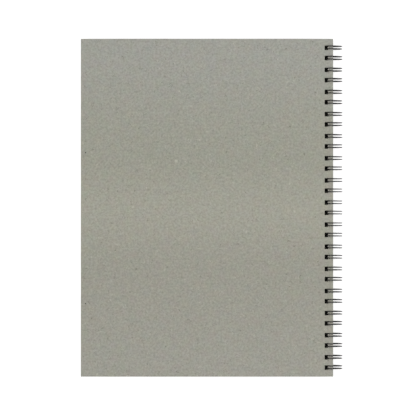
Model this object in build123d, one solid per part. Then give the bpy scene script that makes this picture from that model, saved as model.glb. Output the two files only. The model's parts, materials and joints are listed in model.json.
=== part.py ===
from build123d import *
import os
from math import atan2, cos, degrees, hypot, pi, radians, sin, sqrt

# A sketchbook in a twin-loop wire binding, lying face down: the front cover is
# underneath and the back board on top. Millimetres, +Z up. The spine runs along Y with
# the head of the book at +Y, and the wire is at +X. The origin is at the middle of the
# whole book's footprint, on the plane that the wire loops rest on.

# Boards and sheets
BOARD_WIDTH = 193.2          # spine edge to fore-edge
BOARD_HEIGHT = 258.8         # head to tail
BACK_BOARD = 2.0             # thickness of the grey back board
FRONT_COVER = 2.0            # thickness of the front cover
SHEET_COUNT = 20
SHEET = 0.18                 # thickness of one sheet of drawing paper
SHEET_GAP = 0.02             # air between neighbouring sheets
SHEET_INSET = 2.0            # the covers reach past the sheets at head, tail and fore-edge
SHEET_SET_BACK = 1.1         # the sheets hang this much further from the spine on the loops

# Punched holes
LOOP_PITCH = 25.4 / 3        # three loops to the inch
PAIR_SHIFT = 0.3             # each loop stands this much nearer to its partner in the pair
END_MARGIN = 6.0             # least distance from a hole's centre to the head or tail edge
EDGE_MARGIN = 2.8            # board or paper left between a hole and the spine edge

# Wire
WIRE = 0.8                   # diameter of the coated wire
HAIRPIN = 2.03               # centre distance of the two strands of a loop
FOOT_BEND = 0.6              # centreline radius where a strand turns into the base link
CUT_STUB = 1.6               # length of base link left beyond the first and last loops

# Clearances
SPINE_GAP = 0.6              # from the spine edge out to the axis of the loops
LOOP_CLEAR = 0.26            # between the inside of a loop and the corners it runs round
HOLE_CLEAR = 0.3             # between the outside of a loop and the hole's far edge
SIDE_CLEAR = 0.15            # between a loop and the head side of its hole
TAIL_CLEAR = 0.52            # between a loop and the tail side of its hole
TIP_CLEAR = 0.28             # between the tip of a loop and the base link
SEAM_CLEAR = 0.2             # either side of the base link, between paper and board

# The stack, from the front cover up
SHEET_PITCH = SHEET + SHEET_GAP
SEAM = WIRE + 2 * SEAM_CLEAR
STACK = FRONT_COVER + SHEET_COUNT * SHEET_PITCH + SEAM + BACK_BOARD

# The loops: their inside clears the outer corners of the strip between hole and edge
HOLE_NEAR = SPINE_GAP + EDGE_MARGIN
LOOP_RADIUS = hypot(HOLE_NEAR, STACK / 2) + LOOP_CLEAR + WIRE / 2
LOOP_OUTER = LOOP_RADIUS + WIRE / 2
HOLE_FAR = LOOP_OUTER + HOLE_CLEAR
HOLE_LENGTH = HAIRPIN + WIRE + SIDE_CLEAR + TAIL_CLEAR
TIP_TO_LINK = WIRE + TIP_CLEAR               # from centreline to centreline

# Where everything stands
AXIS_X = (BOARD_WIDTH + SPINE_GAP - LOOP_OUTER) / 2
AXIS_Z = LOOP_OUTER
SPINE_X = AXIS_X - SPINE_GAP
STACK_Z = AXIS_Z - STACK / 2
FIRST_SHEET_Z = STACK_Z + FRONT_COVER
BACK_Z = STACK_Z + STACK - BACK_BOARD
LINK_Z = BACK_Z - SEAM / 2 - AXIS_Z          # base link, above the axis of the loops
STRAND_Y = HOLE_LENGTH / 2 - WIRE / 2 - SIDE_CLEAR - HAIRPIN / 2


def loop_places():
    """The loops' centres along the spine, an even number, set in pairs."""
    fit = int((BOARD_HEIGHT - 2 * END_MARGIN) / LOOP_PITCH) + 1
    count = fit - fit % 2
    first = -(count - 1) / 2 * LOOP_PITCH
    inward = [PAIR_SHIFT, -PAIR_SHIFT]
    return [first + n * LOOP_PITCH + inward[n % 2] for n in range(count)]


def leaf(width, height, thickness, bottom, set_back=0):
    """A flat rectangle with its long edge along the spine and a hole for every loop."""
    block = Box(
        width, height, thickness, align=(Align.MAX, Align.CENTER, Align.MIN)
    )
    hole = Box(HOLE_FAR - HOLE_NEAR, HOLE_LENGTH, 3 * thickness)
    middle = SPINE_GAP - (HOLE_NEAR + HOLE_FAR) / 2
    holes = [Pos(middle, y, thickness / 2) * hole for y in loop_places()]
    return Pos(SPINE_X - set_back, 0, bottom) * (block - holes)


def back_board():
    return leaf(BOARD_WIDTH, BOARD_HEIGHT, BACK_BOARD, BACK_Z)


def front_cover():
    return leaf(BOARD_WIDTH, BOARD_HEIGHT, FRONT_COVER, STACK_Z)


def sheet(number):
    """Sheet 1 lies against the front cover."""
    return leaf(
        BOARD_WIDTH - SHEET_SET_BACK - SHEET_INSET,
        BOARD_HEIGHT - 2 * SHEET_INSET,
        SHEET,
        FIRST_SHEET_Z + (number - 1) * SHEET_PITCH + SHEET_GAP / 2,
        SHEET_SET_BACK,
    )


def on_loop(angle, y):
    """A point of a strand's centreline: 0 degrees is outermost and 90 is on top."""
    a = radians(angle)
    return Vector(AXIS_X + LOOP_RADIUS * cos(a), y, AXIS_Z + LOOP_RADIUS * sin(a))


def along_loop(angle):
    """The direction in which the angle grows."""
    a = radians(angle)
    return Vector(-sin(a), 0, cos(a))


def strand_arc(start, end, y):
    return ThreePointArc(
        on_loop(start, y), on_loop((start + end) / 2, y), on_loop(end, y)
    )


def quarter_bend(start, leave, arrive, radius):
    """A quarter circle from start, leaving along leave and ending along arrive."""
    middle = start + leave * (radius * sin(pi / 4)) + arrive * (radius * (1 - cos(pi / 4)))
    return ThreePointArc(start, middle, start + (leave + arrive) * radius)


def binding_wire():
    """One wire: each strand rises from the base link, runs round the spine to the tip,
    turns back on itself and comes home beside the first strand."""
    # a bend lies in the plane tangent to the loop where the strand's arc ends
    link_angle = 180 - degrees(atan2(LINK_Z, sqrt(LOOP_RADIUS**2 - LINK_Z**2)))
    foot_angle = link_angle - degrees(FOOT_BEND / LOOP_RADIUS)
    tip_angle = link_angle + degrees(TIP_TO_LINK / LOOP_RADIUS)
    turn_angle = tip_angle + degrees(HAIRPIN / 2 / LOOP_RADIUS) - 360
    to_head = Vector(0, 1, 0)
    away = along_loop(foot_angle)
    tipward = along_loop(turn_angle) * -1
    edges, here = [], None
    for centre in loop_places():
        tail_y = centre + STRAND_Y - HAIRPIN / 2
        head_y = tail_y + HAIRPIN
        foot = on_loop(foot_angle, tail_y) + away * FOOT_BEND - to_head * FOOT_BEND
        if here is None:
            here = foot - to_head * CUT_STUB
        edges.append(Line(here, foot))
        edges.append(quarter_bend(foot, to_head, away * -1, FOOT_BEND))
        edges.append(strand_arc(foot_angle, turn_angle, tail_y))
        tip = on_loop(turn_angle, centre + STRAND_Y) + tipward * (HAIRPIN / 2)
        edges.append(
            ThreePointArc(on_loop(turn_angle, tail_y), tip, on_loop(turn_angle, head_y))
        )
        edges.append(strand_arc(turn_angle, foot_angle, head_y))
        edges.append(quarter_bend(on_loop(foot_angle, head_y), away, to_head, FOOT_BEND))
        here = on_loop(foot_angle, head_y) + away * FOOT_BEND + to_head * FOOT_BEND
    edges.append(Line(here, here + to_head * CUT_STUB))
    path = Wire(edges)
    section = Plane(path @ 0, z_dir=path % 0) * Circle(WIRE / 2)
    return sweep(section, path=path)


os.makedirs("parts", exist_ok=True)
nodes = {
    "back_board": back_board(),
    "front_cover": front_cover(),
    "binding_wire": binding_wire(),
}
for number in range(1, SHEET_COUNT + 1):
    nodes[f"sheet_{number:02d}"] = sheet(number)
for name, shape in nodes.items():
    export_step(shape, f"parts/{name}.step")
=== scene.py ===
# A sketchbook in a twin-loop wire binding, lying face down on its front cover: grey back
# board on top, the wire along the right. Lengths are in metres.
import json
import math
import random

import bmesh
import bpy
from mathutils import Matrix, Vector, noise


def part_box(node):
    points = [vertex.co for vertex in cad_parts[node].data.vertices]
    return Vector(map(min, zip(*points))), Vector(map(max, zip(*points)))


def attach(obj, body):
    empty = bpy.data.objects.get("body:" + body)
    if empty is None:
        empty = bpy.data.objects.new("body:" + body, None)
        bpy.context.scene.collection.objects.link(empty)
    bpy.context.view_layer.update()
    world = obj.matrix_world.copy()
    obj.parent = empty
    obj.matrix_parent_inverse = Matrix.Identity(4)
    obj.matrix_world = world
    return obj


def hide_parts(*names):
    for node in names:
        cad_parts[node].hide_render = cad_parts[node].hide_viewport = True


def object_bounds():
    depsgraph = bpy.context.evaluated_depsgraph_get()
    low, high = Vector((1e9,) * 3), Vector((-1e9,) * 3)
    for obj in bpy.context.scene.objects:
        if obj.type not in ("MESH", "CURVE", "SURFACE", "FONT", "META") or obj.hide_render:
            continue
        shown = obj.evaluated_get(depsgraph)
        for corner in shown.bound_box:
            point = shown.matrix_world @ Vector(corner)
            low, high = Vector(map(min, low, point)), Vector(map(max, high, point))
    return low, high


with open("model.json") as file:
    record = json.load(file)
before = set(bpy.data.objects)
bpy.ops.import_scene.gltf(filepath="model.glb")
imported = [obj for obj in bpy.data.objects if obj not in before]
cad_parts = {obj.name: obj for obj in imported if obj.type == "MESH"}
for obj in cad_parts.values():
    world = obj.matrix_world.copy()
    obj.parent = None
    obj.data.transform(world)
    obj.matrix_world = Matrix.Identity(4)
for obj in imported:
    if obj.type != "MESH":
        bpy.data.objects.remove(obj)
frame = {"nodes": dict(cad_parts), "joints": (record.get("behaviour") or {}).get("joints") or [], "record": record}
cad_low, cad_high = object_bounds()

MM = 0.001
bodies = frame["record"]["behaviour"]["bodies"]
rides_on = {node: body for body, nodes in bodies.items() for node in nodes}


# ---------------------------------------------------------------------------------------
# Back board. Solid grey board of recycled fibre, about 2 mm thick, bare on both faces,
# guillotined square and punched with one hole for each loop of the wire.

def punched_holes(node):
    """A leaf's holes, from its CAD mesh: their two x values, and each one's y range."""
    low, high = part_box(node)
    inner = [
        v.co for v in frame["nodes"][node].data.vertices
        if low.x + MM < v.co.x < high.x - MM
    ]
    xs = sorted({round(co.x, 6) for co in inner})
    ys = sorted({round(co.y, 6) for co in inner})
    return (xs[0], xs[-1]), list(zip(ys[::2], ys[1::2]))


def spread(start, end, step):
    """Evenly spaced values from start up to but not including end, about step apart."""
    count = max(1, round((end - start) / step))
    return [start + (end - start) * n / count for n in range(count)]


ON_LINE = 0.01 * MM          # a point closer than this to the outline is on it
SHARP = math.radians(60)     # faces that meet at more than this make a rim
WAVER_REACH = 40 * MM        # length of the waves in a cut edge
noise.seed_set(1)            # unseeded, each run would cut the edges differently


def punched_leaf(name, node, step, waver, seed, edge_round=0, hole_round=0):
    """A leaf in the place of its CAD node: a grid of quads with the holes left out, walls
    round the outline and the holes, and rims softened where asked. The outline wavers
    inwards a little on the three sides away from the spine."""
    low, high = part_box(node)
    (near, far), holes = punched_holes(node)
    xs = spread(low.x, near, step) + [near, far, high.x]
    ys = [low.y] + [y for hole in holes for y in hole] + [high.y]
    mesh = bmesh.new()
    layers = [
        [[mesh.verts.new((x, y, z)) for x in xs] for y in ys] for z in (low.z, high.z)
    ]
    hole_column = len(xs) - 3
    for row in range(len(ys) - 1):
        for column in range(len(xs) - 1):
            if column == hole_column and row % 2:
                continue
            for side, layer in enumerate(layers):
                corners = [
                    layer[row][column], layer[row][column + 1],
                    layer[row + 1][column + 1], layer[row + 1][column],
                ]
                mesh.faces.new(corners if side else corners[::-1])
    lower = {v for row in layers[0] for v in row}
    upper_of = {
        a: b for one, two in zip(*layers) for a, b in zip(one, two)
    }
    for edge in [e for e in mesh.edges if e.is_boundary and e.verts[0] in lower]:
        loop = edge.link_loops[0]
        a, b = loop.link_loop_next.vert, loop.vert
        mesh.faces.new((a, b, upper_of[b], upper_of[a]))

    def on_outline(co):
        return (
            min(co.x - low.x, high.x - co.x) < ON_LINE
            or min(co.y - low.y, high.y - co.y) < ON_LINE
        )

    if edge_round:
        for outline, width in ((True, edge_round), (False, hole_round)):
            rims = [
                e for e in mesh.edges
                if len(e.link_faces) == 2
                and e.calc_face_angle() > SHARP
                and all(on_outline(v.co) for v in e.verts) == outline
            ]
            bmesh.ops.bevel(
                mesh, geom=rims, offset=width, segments=2, profile=0.6, affect="EDGES"
            )
    for v in mesh.verts:
        inset = min(v.co.x - low.x, v.co.y - low.y, high.y - v.co.y)
        if inset < MM:
            wave = noise.noise_vector(Vector((v.co.x, v.co.y, seed)) / WAVER_REACH)
            v.co.x += abs(wave.x) * waver if v.co.x - low.x < MM else 0
            v.co.y -= math.copysign(abs(wave.y), v.co.y) * waver
    bmesh.ops.recalc_face_normals(mesh, faces=mesh.faces)
    data = bpy.data.meshes.new(name)
    mesh.to_mesh(data)
    mesh.free()
    leaf = bpy.data.objects.new(name, data)
    bpy.context.scene.collection.objects.link(leaf)
    return leaf


def linear(code):
    """An sRGB hex colour as linear red, green, blue and alpha."""
    shares = [int(code[n:n + 2], 16) / 255 for n in (1, 3, 5)]
    return [
        s / 12.92 if s <= 0.04045 else ((s + 0.055) / 1.055) ** 2.4 for s in shares
    ] + [1.0]


def add(tree, kind, inputs=None, **settings):
    """One more node in a tree. Each input is a value or another node's output."""
    node = tree.nodes.new(kind)
    for key, value in settings.items():
        setattr(node, key, value)
    for key, value in (inputs or {}).items():
        if isinstance(value, bpy.types.NodeSocket):
            tree.links.new(value, node.inputs[key])
        else:
            node.inputs[key].default_value = value
    return node


def new_material(name):
    material = bpy.data.materials.new(name)
    material.use_nodes = True
    material.node_tree.nodes.clear()
    return material, material.node_tree


def per_metre(size_mm):
    """The texture scale that gives features of this size in millimetres."""
    return 1000 / size_mm


def masked_mix(tree, mask, base, tint, blend="MIX"):
    """Lays a tint over a base where the mask is high, and returns the colour."""
    mix = add(
        tree, "ShaderNodeMix", {"Factor": mask}, data_type="RGBA", blend_type=blend
    )
    for socket, colour in ((mix.inputs[6], base), (mix.inputs[7], tint)):
        if isinstance(colour, bpy.types.NodeSocket):
            tree.links.new(colour, socket)
        else:
            socket.default_value = colour
    return mix.outputs[2]


def ramp(tree, source, start, end, low=0.0, high=1.0):
    """Maps the source from start..end to low..high, smoothly and clamped."""
    node = add(
        tree, "ShaderNodeMapRange",
        {"Value": source, "From Min": start, "From Max": end,
         "To Min": low, "To Max": high},
        interpolation_type="SMOOTHSTEP",
    )
    return node.outputs["Result"]


board_low, board_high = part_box("back_board")


def grey_board(name, layered):
    """Grey board, pressed from repulped paper: matt, a greenish warm grey, mottled at 1 to
    2 mm, with drifts of colour, dark and pale fibres and a few specks of print. Its faces
    show soft bands across the sheet; its cut edges show the plies instead."""
    material, tree = new_material(name)
    place = add(tree, "ShaderNodeTexCoord").outputs["Object"]
    if layered:
        # the plies lie flat, so across the thickness the pattern is 8 times finer
        place = add(
            tree, "ShaderNodeVectorMath", {0: place, 1: (1, 1, 8)}, operation="MULTIPLY"
        ).outputs[0]
        colour = linear("#8F8D81")
    else:
        split = add(tree, "ShaderNodeSeparateXYZ", {0: place})
        height = add(
            tree, "ShaderNodeMapRange",
            {"Value": split.outputs["Y"],
             "From Min": board_low.y, "From Max": board_high.y},
        ).outputs["Result"]
        bands = add(tree, "ShaderNodeValToRGB", {"Fac": height})
        bands.color_ramp.interpolation = "EASE"
        stops = [
            (0.0, "#9D9C92"), (0.32, "#9A998E"), (0.49, "#A09F93"), (0.65, "#9A9A8E"),
            (1.0, "#9E9E96"),
        ]
        elements = bands.color_ramp.elements
        while len(elements) < len(stops):
            elements.new(0.5)
        for element, (position, code) in zip(elements, stops):
            element.position = position
            element.color = linear(code)
        colour = bands.outputs["Color"]

    # drifts of colour a few millimetres wide, from the dyed paper in the pulp
    drift = add(
        tree, "ShaderNodeTexNoise",
        {"Vector": place, "Scale": per_metre(7), "Detail": 2.0, "Roughness": 0.5},
    )
    colour = masked_mix(tree, 0.06, colour, drift.outputs["Color"], "OVERLAY")

    # flocs of fibre, 1 to 2 mm, paler and darker
    mottle = add(
        tree, "ShaderNodeTexNoise",
        {"Vector": place, "Scale": per_metre(1.6), "Detail": 3.0, "Roughness": 0.6},
    )
    depth = 0.22 if layered else 0.13
    shade = ramp(tree, mottle.outputs["Fac"], 0.25, 0.75, 1 - depth, 1 + depth)
    colour = add(
        tree, "ShaderNodeVectorMath", {0: colour, 1: shade}, operation="MULTIPLY"
    ).outputs[0]

    # single fibres: hair-thin contour lines of a twisted noise, cut short by another noise
    for code, seed, amount in (("#5F5C50", 0.0, 0.55), ("#C4C1B2", 3.7, 0.5)):
        twisted = add(
            tree, "ShaderNodeTexNoise",
            {"Vector": place, "W": seed, "Scale": per_metre(4.5), "Detail": 1.0,
             "Distortion": 1.6},
            noise_dimensions="4D",
        )
        off = add(
            tree, "ShaderNodeMath", {0: twisted.outputs["Fac"], 1: 0.5},
            operation="SUBTRACT",
        )
        near = add(tree, "ShaderNodeMath", {0: off.outputs[0]}, operation="ABSOLUTE")
        line = ramp(tree, near.outputs[0], 0.004, 0.012, 1, 0)
        cut = add(
            tree, "ShaderNodeTexNoise",
            {"Vector": place, "W": seed + 9, "Scale": per_metre(3), "Detail": 0.0},
            noise_dimensions="4D",
        )
        piece = ramp(tree, cut.outputs["Fac"], 0.54, 0.6, 0, amount)
        mask = add(tree, "ShaderNodeMath", {0: line, 1: piece}, operation="MULTIPLY")
        colour = masked_mix(tree, mask.outputs[0], colour, linear(code))

    # specks of old print, about a millimetre at the most, in some cells of a 7 mm grid
    cells = add(
        tree, "ShaderNodeTexVoronoi", {"Vector": place, "Scale": per_metre(7)}
    )
    chance = add(tree, "ShaderNodeSeparateXYZ", {0: cells.outputs["Color"]})
    size = ramp(tree, chance.outputs["X"], 0.45, 1.0, 0.0, 0.09)
    gap = add(
        tree, "ShaderNodeMath", {0: size, 1: cells.outputs["Distance"]},
        operation="SUBTRACT",
    )
    speck = ramp(tree, gap.outputs[0], 0.0, 0.03, 0, 0.45)
    colour = masked_mix(tree, speck, colour, linear("#57564C"))

    # two darker specks near the fore-edge of the outer face, about a millimetre across
    if not layered:
        fore_edge_inset = 3.6 * MM
        for towards_head in (42.2 * MM, -73.4 * MM):
            spot = Vector((board_low.x + fore_edge_inset, towards_head, board_high.z))
            away = add(
                tree, "ShaderNodeVectorMath", {0: place, 1: spot}, operation="DISTANCE"
            ).outputs["Value"]
            dot = ramp(tree, away, 0.35 * MM, 0.62 * MM, 0.85, 0)
            colour = masked_mix(tree, dot, colour, linear("#2C2D25"))

    # the felt surface: shallow flocs with the fibres' own relief on them
    fuzz = add(
        tree, "ShaderNodeTexNoise",
        {"Vector": place, "Scale": per_metre(0.5), "Detail": 4.0, "Roughness": 0.65},
    )
    relief = add(
        tree, "ShaderNodeBump",
        {"Height": mottle.outputs["Fac"], "Strength": 0.5, "Distance": 0.05 * MM},
    )
    relief = add(
        tree, "ShaderNodeBump",
        {"Height": fuzz.outputs["Fac"], "Strength": 0.5, "Distance": 0.04 * MM,
         "Normal": relief.outputs["Normal"]},
    )
    shader = add(
        tree, "ShaderNodeBsdfPrincipled",
        {"Base Color": colour, "Roughness": 0.92, "IOR": 1.45, "Specular IOR Level": 0.2,
         "Normal": relief.outputs["Normal"]},
    )
    add(tree, "ShaderNodeOutputMaterial", {"Surface": shader.outputs["BSDF"]})
    return material


def dress(leaf, face_up, face_down, edge):
    """Gives a leaf one finish for its upper face, its lower face and its edges each."""
    for material in (face_up, face_down, edge):
        leaf.data.materials.append(material)
    for face in leaf.data.polygons:
        flat = abs(face.normal.z) > 0.5
        face.material_index = 2 if not flat else (0 if face.normal.z > 0 else 1)


# how both boards are cut: the grid of their faces, how far the guillotined edge wavers,
# and how much its rims and those of the punched holes are softened
BOARD_CUT = {
    "step": 4 * MM, "waver": 0.12 * MM, "edge_round": 0.22 * MM, "hole_round": 0.15 * MM,
}
board_face = grey_board("grey_board_face", layered=False)
board_edge = grey_board("grey_board_cut_edge", layered=True)
back_board = punched_leaf("back_board_shell", "back_board", seed=1, **BOARD_CUT)
dress(back_board, board_face, board_face, board_edge)
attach(back_board, rides_on["back_board"])
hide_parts("back_board")


# ---------------------------------------------------------------------------------------
# Front cover. The same board with a plain black cover paper pasted on its outer face,
# then cut and punched with the rest, so its edges and its inner face stay grey.

def cover_paper():
    """Dyed-through cover paper, matt, with an eggshell felt mark that breaks up the little
    sheen that it has, and patches a finger wide that handling has rubbed smoother."""
    material, tree = new_material("black_cover_paper")
    place = add(tree, "ShaderNodeTexCoord").outputs["Object"]
    # a real felt mark is under 1 mm, and it is drawn at 1.8 mm to show from arm's length
    felt = add(
        tree, "ShaderNodeTexNoise",
        {"Vector": place, "Scale": per_metre(1.8), "Detail": 3.0, "Roughness": 0.6},
    )
    rub = add(
        tree, "ShaderNodeTexNoise",
        {"Vector": place, "Scale": per_metre(18), "Detail": 2.0, "Distortion": 0.4},
    )
    colour = masked_mix(
        tree, ramp(tree, felt.outputs["Fac"], 0.35, 0.65),
        linear("#15161A"), linear("#2B2C30"),
    )
    polish = ramp(tree, rub.outputs["Fac"], 0.35, 0.65, 0.68, 0.57)
    relief = add(
        tree, "ShaderNodeBump",
        {"Height": felt.outputs["Fac"], "Strength": 0.7, "Distance": 0.1 * MM},
    )
    shader = add(
        tree, "ShaderNodeBsdfPrincipled",
        {"Base Color": colour, "Roughness": polish, "IOR": 1.47,
         "Normal": relief.outputs["Normal"]},
    )
    add(tree, "ShaderNodeOutputMaterial", {"Surface": shader.outputs["BSDF"]})
    return material


front_cover = punched_leaf("front_cover_shell", "front_cover", seed=2, **BOARD_CUT)
dress(front_cover, board_face, cover_paper(), board_edge)
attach(front_cover, rides_on["front_cover"])
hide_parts("front_cover")


# ---------------------------------------------------------------------------------------
# Sheets. Twenty leaves of uncoated drawing paper, 0.18 mm, cut as a block and punched
# with the same holes, a little smaller than the boards.

def drawing_paper():
    """Cartridge paper: a warm white, matt, with a slight tooth about half a millimetre
    across that gives pencil its grip."""
    material, tree = new_material("cartridge_paper")
    place = add(tree, "ShaderNodeTexCoord").outputs["Object"]
    cloud = add(
        tree, "ShaderNodeTexNoise",
        {"Vector": place, "Scale": per_metre(4), "Detail": 3.0, "Roughness": 0.6},
    )
    colour = masked_mix(
        tree, ramp(tree, cloud.outputs["Fac"], 0.3, 0.7),
        linear("#E7E4DA"), linear("#EAE7DE"),
    )
    tooth = add(
        tree, "ShaderNodeTexNoise",
        {"Vector": place, "Scale": per_metre(0.6), "Detail": 4.0, "Roughness": 0.6},
    )
    relief = add(
        tree, "ShaderNodeBump",
        {"Height": tooth.outputs["Fac"], "Strength": 0.5, "Distance": 0.03 * MM},
    )
    shader = add(
        tree, "ShaderNodeBsdfPrincipled",
        {"Base Color": colour, "Roughness": 0.88, "IOR": 1.47, "Specular IOR Level": 0.25,
         "Normal": relief.outputs["Normal"]},
    )
    add(tree, "ShaderNodeOutputMaterial", {"Surface": shader.outputs["BSDF"]})
    return material


paper = drawing_paper()
sheets = sorted(node for node in frame["nodes"] if node.startswith("sheet_"))
for number, node in enumerate(sheets):
    leaf = punched_leaf(
        node + "_leaf", node, step=24 * MM, waver=0.2 * MM, seed=10 + number
    )
    leaf.data.materials.append(paper)
    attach(leaf, rides_on[node])
    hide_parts(node)


# ---------------------------------------------------------------------------------------
# Binding wire. One length of 0.8 mm steel wire with a black nylon coat, bent into
# hairpins on a straight base link and closed through the holes into double rings. The
# links and the hairpins' tips lie between the last sheet and the back board.

WIRE_RADIUS = 0.4 * MM
HAIRPIN = 2.03 * MM          # centre distance of the two strands of a loop
SIDE_CLEAR = 0.06 * MM       # from a strand to the head side of its hole
FOOT_BEND = 0.6 * MM         # where a strand turns into the base link
TIP_TO_LINK = 1.08 * MM      # from a loop's tip round to the base link
CUT_STUB = 1.6 * MM          # base link left at the two cut ends
LEAN_TO_TAIL = 0.168 * MM    # the most that a loop's outermost point leans, either way:
LEAN_TO_HEAD = 0.042 * MM    # its holes leave it little room on the head side
LEAN_START = -0.4            # in radii from the axis, where a loop begins to lean
BEND_STEPS, RING_STEPS, TIP_STEPS = 5, 64, 10

axis = Vector(frame["joints"][0]["pos_m"])
loop_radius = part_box("binding_wire")[1].x - axis.x - WIRE_RADIUS
last_sheet_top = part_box(sheets[-1])[1].z
link_height = (last_sheet_top + board_low.z) / 2 - axis.z
link_angle = math.pi - math.asin(link_height / loop_radius)
foot_angle = link_angle - FOOT_BEND / loop_radius
tip_angle = link_angle + TIP_TO_LINK / loop_radius
turn_angle = tip_angle + HAIRPIN / 2 / loop_radius - 2 * math.pi
TO_HEAD = Vector((0, 1, 0))


def arc(centre, first, second, start, end, count):
    """Points on the circle through centre + first (at 0) and centre + second (at 90)."""
    return [
        centre + first * math.cos(start + (end - start) * n / count)
        + second * math.sin(start + (end - start) * n / count)
        for n in range(count + 1)
    ]


def loop_points(head_y, lean):
    """One loop's centreline: up from the link, round the spine to the tip, and back."""
    tail_y = head_y - HAIRPIN
    out, up = Vector((loop_radius, 0, 0)), Vector((0, 0, loop_radius))
    away = Vector((-math.sin(foot_angle), 0, math.cos(foot_angle)))
    tipward = Vector((math.sin(turn_angle), 0, -math.cos(turn_angle)))

    def hub(y):
        return Vector((axis.x, y, axis.z))

    def on_loop(angle, y):
        return hub(y) + out * math.cos(angle) + up * math.sin(angle)

    points = arc(
        on_loop(foot_angle, tail_y) - TO_HEAD * FOOT_BEND,
        away * FOOT_BEND, TO_HEAD * FOOT_BEND, 0, math.pi / 2, BEND_STEPS,
    )
    points += arc(hub(tail_y), out, up, foot_angle, turn_angle, RING_STEPS)[1:]
    points += arc(
        on_loop(turn_angle, (tail_y + head_y) / 2),
        TO_HEAD * (-HAIRPIN / 2), tipward * (HAIRPIN / 2), 0, math.pi, TIP_STEPS,
    )[1:]
    points += arc(hub(head_y), out, up, turn_angle, foot_angle, RING_STEPS)[1:]
    points += arc(
        on_loop(foot_angle, head_y) + TO_HEAD * FOOT_BEND,
        TO_HEAD * -FOOT_BEND, away * FOOT_BEND, 0, math.pi / 2, BEND_STEPS,
    )[1:]
    # closed loops never stand quite square: each leans along the spine, more and more
    # from where it leaves its holes to its outermost point
    for point in points:
        outward = (point.x - axis.x) / loop_radius
        point.y += lean * max(0.0, (outward - LEAN_START) / (1 - LEAN_START))
    return points


random.seed(7)
centreline = []
for _, high_y in punched_holes("back_board")[1]:
    lean = random.uniform(-LEAN_TO_TAIL, LEAN_TO_HEAD)
    centreline += loop_points(high_y - SIDE_CLEAR - WIRE_RADIUS, lean)
stub = TO_HEAD * CUT_STUB
centreline = [centreline[0] - stub] + centreline + [centreline[-1] + stub]

WELD = 0.002 * MM            # points of the swept tube closer than this are one point
line = bpy.data.curves.new("binding_wire_line", "CURVE")
line.dimensions = "3D"
line.bevel_depth = WIRE_RADIUS
line.bevel_resolution = 3
line.use_fill_caps = True
spline = line.splines.new("POLY")
spline.points.add(len(centreline) - 1)
for point, place in zip(spline.points, centreline):
    point.co = (*place, 1)
swept = bpy.data.objects.new("binding_wire_sweep", line)
bpy.context.scene.collection.objects.link(swept)
bpy.context.view_layer.update()
evaluated = swept.evaluated_get(bpy.context.evaluated_depsgraph_get())
tube = bpy.data.meshes.new_from_object(evaluated)
bpy.data.objects.remove(swept)
weld = bmesh.new()
weld.from_mesh(tube)
bmesh.ops.remove_doubles(weld, verts=weld.verts, dist=WELD)
bmesh.ops.recalc_face_normals(weld, faces=weld.faces)
weld.to_mesh(tube)
weld.free()
for face in tube.polygons:
    face.use_smooth = True
wire = bpy.data.objects.new("binding_wire_coated", tube)
bpy.context.scene.collection.objects.link(wire)


def nylon_coat():
    """Nylon-coated steel: a black skin with a satin gloss and a faint orange peel."""
    material, tree = new_material("black_nylon_coat")
    place = add(tree, "ShaderNodeTexCoord").outputs["Object"]
    peel = add(
        tree, "ShaderNodeTexNoise",
        {"Vector": place, "Scale": per_metre(0.5), "Detail": 2.0},
    )
    relief = add(
        tree, "ShaderNodeBump",
        {"Height": peel.outputs["Fac"], "Strength": 0.3, "Distance": 0.01 * MM},
    )
    sheen = ramp(tree, peel.outputs["Fac"], 0.3, 0.7, 0.16, 0.24)
    shader = add(
        tree, "ShaderNodeBsdfPrincipled",
        {"Base Color": linear("#0C0C0D"), "Roughness": sheen, "IOR": 1.62,
         "Normal": relief.outputs["Normal"]},
    )
    add(tree, "ShaderNodeOutputMaterial", {"Surface": shader.outputs["BSDF"]})
    return material


wire.data.materials.clear()
wire.data.materials.append(nylon_coat())
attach(wire, rides_on["binding_wire"])
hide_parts("binding_wire")


# ---------------------------------------------------------------------------------------
# Floor, light and camera. A white table that glows evenly by its own light, with a painted shadow under the book,
# under a wide soft sky, seen from straight above. The book rests on the bottoms of its loops and on the front
# cover's fore-edge, so the table is tilted, by a little over half a degree, to come within a hair of both.

# the edge of the painted shadow under the book, where the glow fades out and the darkened colour begins
PAINTED_SHADOW_RIM = 1.5 * MM          # the glow dies out over this width inside the outline
TABLE_GLOW = 0.76
SKY_STRENGTH = 0.26


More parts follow.
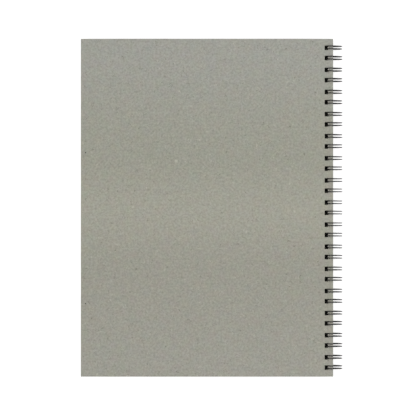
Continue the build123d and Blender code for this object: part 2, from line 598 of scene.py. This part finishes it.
def white_table(low, high):
    """A white table that glows by its own light, with a painted shadow under the closed book: there its glow is
    switched off and its colour darkened. It reflects only part of the light, because a brighter table would hide
    the thin wire."""
    material, tree = new_material("white_table")
    place = add(tree, "ShaderNodeTexCoord").outputs["Object"]
    split = add(tree, "ShaderNodeSeparateXYZ", {0: place})
    clear = None
    for axis_name in "XY":
        a, b = (getattr(corner, axis_name.lower()) for corner in (low, high))
        off = add(
            tree, "ShaderNodeMath", {0: split.outputs[axis_name], 1: (a + b) / 2},
            operation="SUBTRACT",
        )
        past = add(tree, "ShaderNodeMath", {0: off.outputs[0]}, operation="ABSOLUTE")
        share = ramp(tree, past.outputs[0], (b - a) / 2 - PAINTED_SHADOW_RIM, (b - a) / 2)
        clear = share if clear is None else add(
            tree, "ShaderNodeMath", {0: clear, 1: share}, operation="MAXIMUM"
        ).outputs[0]
    # painted shadow: where the table lies under the closed book, the glow is switched off and the colour darkened
    glow = add(tree, "ShaderNodeMath", {0: clear, 1: TABLE_GLOW}, operation="MULTIPLY")
    shade = masked_mix(tree, clear, linear("#3A3A3A"), linear("#B4B4B4"))
    shader = add(
        tree, "ShaderNodeBsdfPrincipled",
        {"Base Color": shade, "Roughness": 1.0, "Specular IOR Level": 0.0,
         "Emission Color": linear("#FFFFFF"), "Emission Strength": glow.outputs[0]},
    )
    # clear from below, so that the underside of the book can be looked at
    clear_below = add(
        tree, "ShaderNodeMixShader",
        {0: add(tree, "ShaderNodeNewGeometry").outputs["Backfacing"],
         1: shader.outputs["BSDF"], 2: add(tree, "ShaderNodeBsdfTransparent").outputs[0]},
    )
    add(tree, "ShaderNodeOutputMaterial", {"Surface": clear_below.outputs[0]})
    return material


front_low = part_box("front_cover")[0]
slope = (front_low.z - cad_low.z) / (axis.x - front_low.x)
TABLE = 4.0                  # from the middle of the table to its edge
TABLE_GAP = 0.02 * MM        # between the table and the loops
floor_data = bpy.data.meshes.new("table_top")
floor_data.from_pydata(
    [
        (axis.x + x, y, cad_low.z - TABLE_GAP - x * slope)
        for x, y in ((-TABLE, -TABLE), (TABLE, -TABLE), (TABLE, TABLE), (-TABLE, TABLE))
    ],
    [], [(0, 1, 2, 3)],
)
floor = bpy.data.objects.new("table_top", floor_data)
floor.data.materials.append(white_table(*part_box("front_cover")))
bpy.context.scene.collection.objects.link(floor)

sky = bpy.data.worlds.new("soft_sky")
sky.use_nodes = True
background = sky.node_tree.nodes["Background"].inputs
background["Color"].default_value = linear("#FFFFFF")
background["Strength"].default_value = SKY_STRENGTH
bpy.context.scene.world = sky


def softbox(name, place, size, watts):
    """A square lamp that faces the book and is itself out of the camera's sight."""
    data = bpy.data.lights.new(name, "AREA")
    data.size = size
    data.energy = watts
    lamp = bpy.data.objects.new(name, data)
    lamp.location = place
    lamp.rotation_euler = (-Vector(place)).to_track_quat("-Z", "Y").to_euler()
    lamp.visible_camera = False
    bpy.context.scene.collection.objects.link(lamp)


softbox("head_softbox", place=(-0.3, 0.9, 1.3), size=1.2, watts=2.2)
softbox("fore_edge_softbox", place=(-0.8, 0.0, 1.3), size=0.8, watts=10.7)
softbox("spine_softbox", place=(1.35, 0.0, 0.75), size=0.7, watts=16.5)

VIEW_IN_BOARDS = 1.64883     # the view is square, and this many board widths wide
AIM_RIGHT = 0.781 * MM       # where the camera aims, from the middle of the board
AIM_UP = -0.245 * MM
view_width = (board_high.x - board_low.x) * VIEW_IN_BOARDS
camera_data = bpy.data.cameras.new("camera")
camera_data.lens = 300
camera_data.sensor_width = 36
camera = bpy.data.objects.new("camera", camera_data)
camera.location = (
    (board_low.x + board_high.x) / 2 + AIM_RIGHT,
    AIM_UP,
    board_high.z + view_width * camera_data.lens / camera_data.sensor_width,
)
bpy.context.scene.collection.objects.link(camera)
bpy.context.scene.camera = camera
bpy.context.scene.view_settings.view_transform = "Standard"
bpy.context.scene.view_settings.look = "None"
